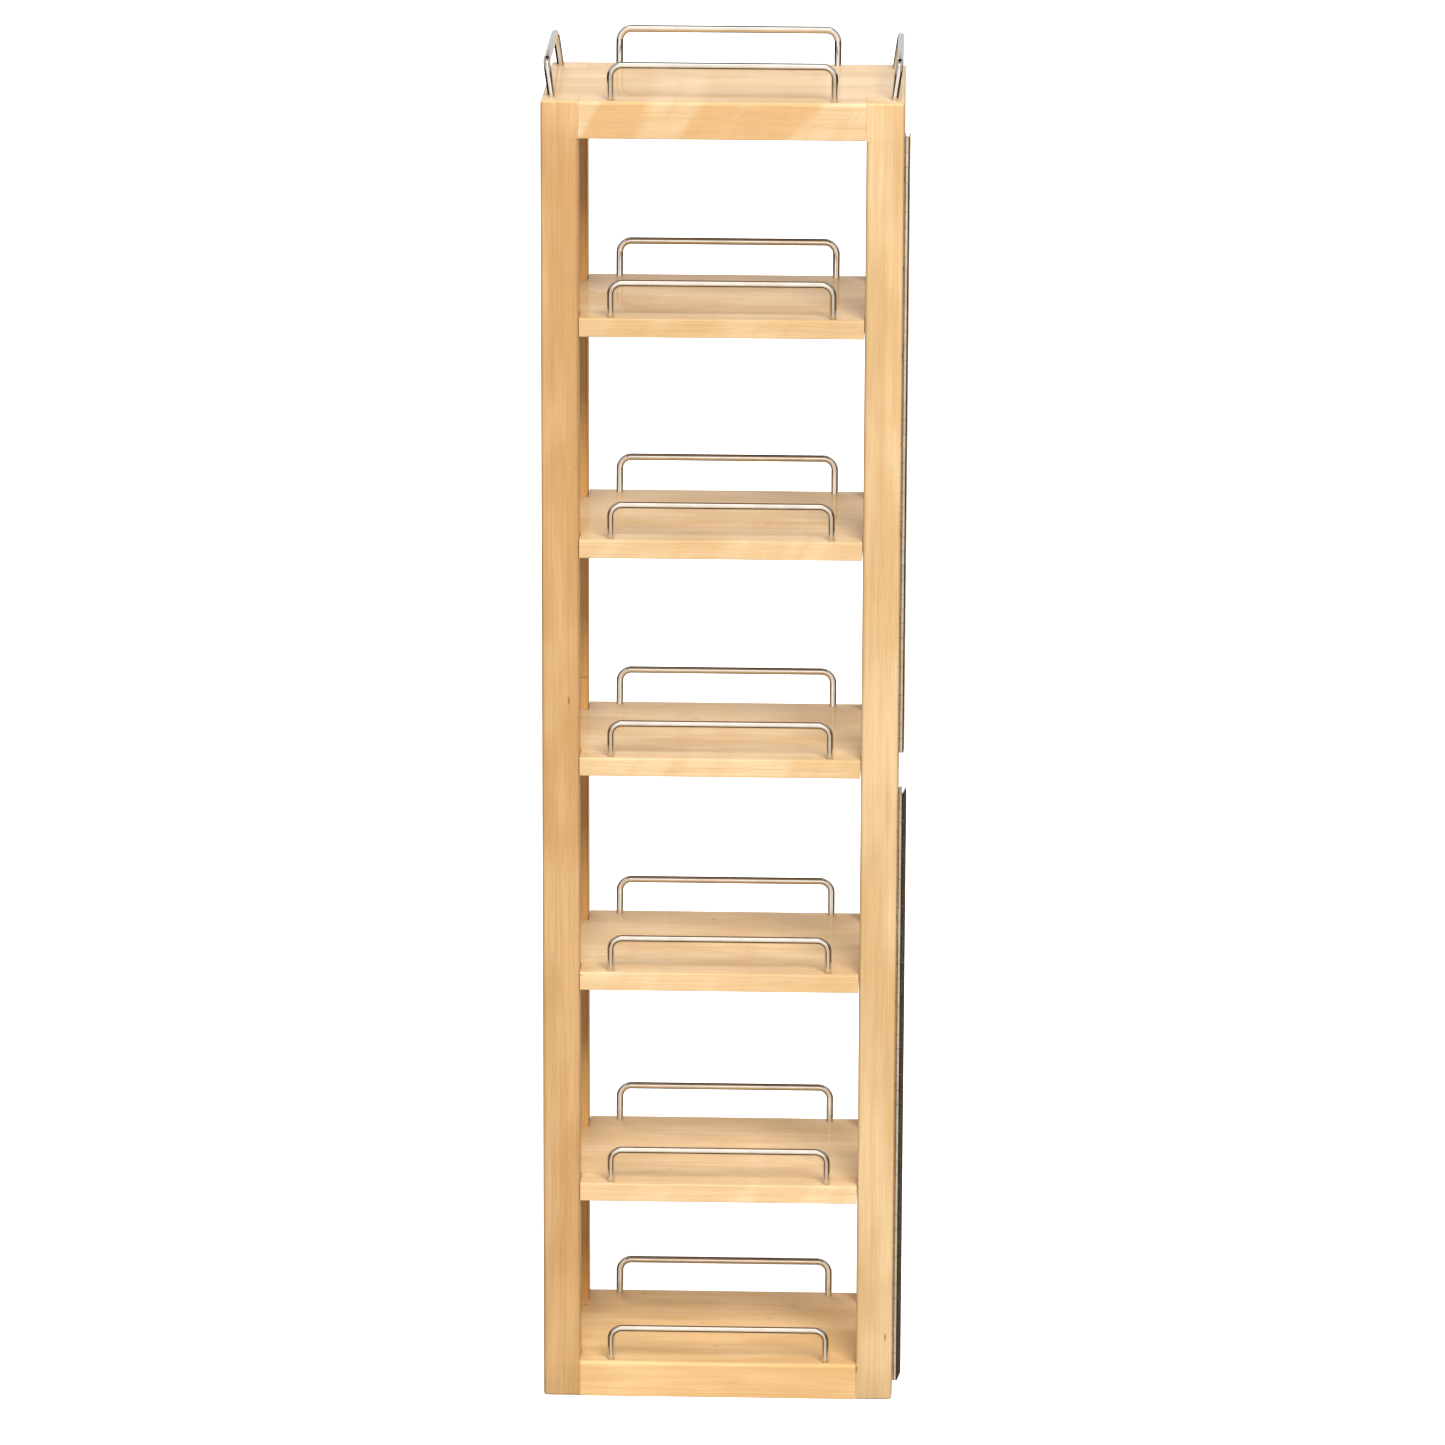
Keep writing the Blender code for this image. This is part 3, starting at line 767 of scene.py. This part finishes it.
def make_woodwork():
    grain = {
        ("front", "left"): {"pith": (-60, 190), "tone": WARM, "shift": (11, 3, 5), "rings": 2.4},
        ("front", "right"): {"pith": (60, -260), "tone": PALE, "shift": (53, 17, 8), "rings": 2.8},
        # This post's tone is painted shade: darker and warmer than its wood alone
        ("back", "left"): {"pith": (-50, 10), "tone": PAINTED_SHADE_DEEP, "shift": (90, 1, 44), "rings": 2.6},
        ("back", "right"): {"pith": (220, 20), "tone": WARM, "shift": (130, 71, 9), "rings": 2.6},
    }
    grain["back", "left"]["joint"] = POST_JOINT
    for (end, side), facts in grain.items():
        tone = facts.pop("tone")
        facts |= {"light": shade(POST_LIGHT, tone), "dark": shade(POST_DARK, tone), "ends": END_GRAIN}
        make_post(end, side, wood(f"wood_post_{end}_{side}", "Z", wander=9.0, **facts))
    top = make_board_wood("top_board", (20, 960), TOP_TONE, (7, 31, 2), 3.4, 1.0)
    bottom = make_board_wood("bottom_board", (-60, -80), BOTTOM_TONE, (207, 1, 62), 3.0, 0.12)
    make_board("top_board", "frame", top, TIGHT, ARRIS, notch_arris=0.0)
    make_board("bottom_board", "frame", bottom, TIGHT, ARRIS, notch_arris=0.0)
    for level in range(LEVELS):
        name = f"shelf_{level + 1}"
        pith = (30 - 47 * level % 90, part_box(name)[0].z / MM - 90 - 25 * (level % 3))
        # Painted light and shade: shelves lighter towards the bottom and darker towards the top
        tone = Vector(LOWEST_SHELF_PAINTED_LIGHT).lerp(HIGHEST_SHELF_PAINTED_SHADE, level / (LEVELS - 1))
        material = make_board_wood(name, pith, tone, (311 * level + 40, 9, 5), 3.1, 0.35)
        make_board(name, name, material, SHELF_GAP, SHELF_ARRIS, NOTCH_ARRIS)


def make_metalwork():
    plated, steel, zinc = chrome(), hinge_metal(), pin_metal()
    for level in ("bottom", "top", *(f"shelf_{k + 1}" for k in range(LEVELS))):
        wooden = level if level.startswith("shelf") else f"{level}_board"
        body = level if level.startswith("shelf") else "frame"
        for end in ENDS:
            node = f"{level}_rail_{end}"
            make_rail(node, body, long_rail_feet(node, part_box(wooden)[1].z), plated)
    for side, sx in SIDES.items():
        make_rail(f"top_rail_{side}", "frame", side_rail_feet(sx), plated)
    for level in range(LEVELS):
        for end in ENDS:
            for side in SIDES:
                make_shelf_pin(level, end, side, zinc)
    for which in ("lower", "upper"):
        make_leaf(which, "fixed", steel)
        make_leaf(which, "moving", steel)
        make_screws(which, zinc)
        make_hinge_pin(which, zinc)


# ---------------------------------------------------------------- studio

CAMERA_FROM = Vector((0.1803, -6.0953, 2.2436))
CAMERA_AT = Vector((-0.0007, 0.0, 0.5872))
CAMERA_ROLL = math.radians(0.21)
LENS, SENSOR = 181.4, 36.0  # mm

# name: place, aim, size, power, colour
LAMPS = {
    "front_soft": ((2.55, -10.8, 10.5), (0, 0, 0.5), (9.3, 7.2), 3700, (1.0, 0.985, 0.96)),
    "top_soft": ((0.0, -0.3, 3.4), (0, 0, 0.6), (2.0, 2.0), 13, (1, 1, 1)),
    "rear_soft": ((-2.4, 5.6, 4.4), (0, 0, 0.5), (3.0, 3.0), 150, (1, 1, 1)),
}
FILL_COLOUR, FILL_STRENGTH = (1.0, 0.99, 0.975, 1), 0.40
FLOOR_HALF, FLOOR_GLOW = 30.0, 0.72
PAPER = ((0.90, 0.90, 0.90, 1), (0.93, 0.93, 0.93, 1))

# What the reflections see
DOME_RADIUS = 12.0
DARK_SIDE = (0.022, 0.017, 0.012, 1)
UPPER_SIDE = (0.66, 0.65, 0.62, 1)
RIGHT_CARD, RIGHT_STRENGTH = (0.90, 0.88, 0.84, 1), 0.15
FRONT_BOX, FRONT_BELOW = (1.5, 1.46, 1.40, 1), (1.02, 0.87, 0.70, 1)
BACK_WALL = (0.76, 0.76, 0.77, 1)
LOW_GLANCE = (1.0, 0.74, 0.45, 1)
TOP_BOX = (2.2, 2.17, 2.12, 1)


def add_to_scene(name, data):
    thing = bpy.data.objects.new(name, data)
    bpy.context.scene.collection.objects.link(thing)
    return thing


def make_camera():
    data = bpy.data.cameras.new("camera")
    data.lens, data.sensor_width = LENS, SENSOR
    data.clip_end = 100.0
    camera = add_to_scene("camera", data)
    camera.location = CAMERA_FROM
    aim = (CAMERA_AT - CAMERA_FROM).to_track_quat("-Z", "Y").to_matrix()
    camera.rotation_euler = (aim @ Matrix.Rotation(CAMERA_ROLL, 3, "Z")).to_euler()
    bpy.context.scene.camera = camera


def make_lamp(name, place, aim, size, power, colour):
    data = bpy.data.lights.new(name, "AREA")
    data.shape, data.size, data.size_y = "RECTANGLE", *size
    data.energy, data.color = power, colour
    lamp = add_to_scene(name, data)
    lamp.location = place
    lamp.rotation_euler = (Vector(aim) - Vector(place)).to_track_quat("-Z", "Y").to_euler()
    lamp.visible_glossy = False
    lamp.visible_camera = False


def make_world():
    world = bpy.data.worlds.new("studio")
    bpy.context.scene.world = world
    world.use_nodes = True
    background = world.node_tree.nodes["Background"]
    background.inputs["Color"].default_value = FILL_COLOUR
    background.inputs["Strength"].default_value = FILL_STRENGTH


def make_floor():
    """A pale floor that the reflections don't see: the chrome mirrors the dark studio beyond it."""
    bm = bmesh.new()
    bmesh.ops.create_grid(bm, x_segments=1, y_segments=1, size=FLOOR_HALF)
    mesh = bpy.data.meshes.new("floor")
    bm.to_mesh(mesh)
    bm.free()
    floor = add_to_scene("floor", mesh)
    n = Nodes("floor_paper")
    place = n.add("ShaderNodeTexCoord").outputs["Object"]
    n.set(
        Base_Color=n.blend(n.noise(n.stretched(place, (90, 90, 90)), detail=3.0), *PAPER),
        Roughness=0.9,
        Specular_IOR_Level=0.1,
        Emission_Color=(1, 1, 1, 1),
        Emission_Strength=FLOOR_GLOW,
    )
    mesh.materials.append(n.material)
    floor.visible_glossy = False
    floor.visible_diffuse = False


def reflected_light(n):
    """The light from each direction: x is right, z up, and ahead runs from front (-1) to back (1)."""
    place = n.add("ShaderNodeTexCoord").outputs["Object"]
    x, y, z = n.axes(n.add("ShaderNodeVectorMath", {0: place}, operation="NORMALIZE").outputs[0])
    flat = n.math("SQRT", n.plus(n.times(x, x), n.times(y, y)))
    ahead = n.math("DIVIDE", y, n.math("MAXIMUM", flat, 0.001))
    beside = n.times(n.step(ahead, -0.60, -0.40), n.step(ahead, 0.93, 0.86))
    upper = n.times(beside, n.step(z, 0.10, 0.30))
    right = n.times(n.step(x, 0.45, 0.60), n.step(ahead, 0.10, 0.25))
    right = n.times(right, n.step(ahead, 0.78, 0.62), n.step(z, -0.60, -0.45))
    front = n.times(n.step(ahead, -0.58, -0.74), n.step(z, -0.80, -0.60))
    behind = n.times(n.step(ahead, 0.90, 0.97), n.step(z, 0.38, 0.27), n.step(z, -0.04, 0.08))
    glanced = n.times(n.step(ahead, 0.96, 0.98), n.step(x, 0.004, 0.018))
    glanced = n.times(glanced, n.times(n.step(z, -0.50, -0.42), n.step(z, 0.08, -0.04)))
    above = n.times(n.step(z, 0.92, 0.96), n.step(y, 0.10, 0.0))
    light = n.blend(upper, DARK_SIDE, UPPER_SIDE)
    light = n.blend(n.times(right, RIGHT_STRENGTH), light, RIGHT_CARD)
    light = n.blend(front, light, n.blend(n.step(z, -0.22, 0.02), FRONT_BELOW, FRONT_BOX))
    light = n.blend(behind, light, BACK_WALL)
    light = n.blend(glanced, light, LOW_GLANCE)
    return n.blend(above, light, TOP_BOX)


def make_reflections():
    """The studio that the reflections see: soft boxes in front and above, a lit wall behind, dark sides."""
    bm = bmesh.new()
    bmesh.ops.create_uvsphere(bm, u_segments=48, v_segments=24, radius=DOME_RADIUS)
    bmesh.ops.reverse_faces(bm, faces=bm.faces)
    mesh = bpy.data.meshes.new("reflected_studio")
    bm.to_mesh(mesh)
    bm.free()
    dome = add_to_scene("reflected_studio", mesh)
    n = Nodes("studio_reflection")
    emission = n.add("ShaderNodeEmission", {"Color": reflected_light(n)})
    n.tree.nodes.remove(n.shader)
    output = next(node for node in n.tree.nodes if node.type == "OUTPUT_MATERIAL")
    n.tree.links.new(emission.outputs[0], output.inputs["Surface"])
    mesh.materials.append(n.material)
    dome.visible_camera = False
    dome.visible_diffuse = False
    dome.visible_shadow = False
    dome.visible_transmission = False


def make_studio():
    view = bpy.context.scene.view_settings
    view.view_transform = "Standard"
    view.look = "None"
    make_camera()
    make_world()
    make_floor()
    make_reflections()
    for name, facts in LAMPS.items():
        make_lamp(name, *facts)


make_studio()
make_woodwork()
make_metalwork()
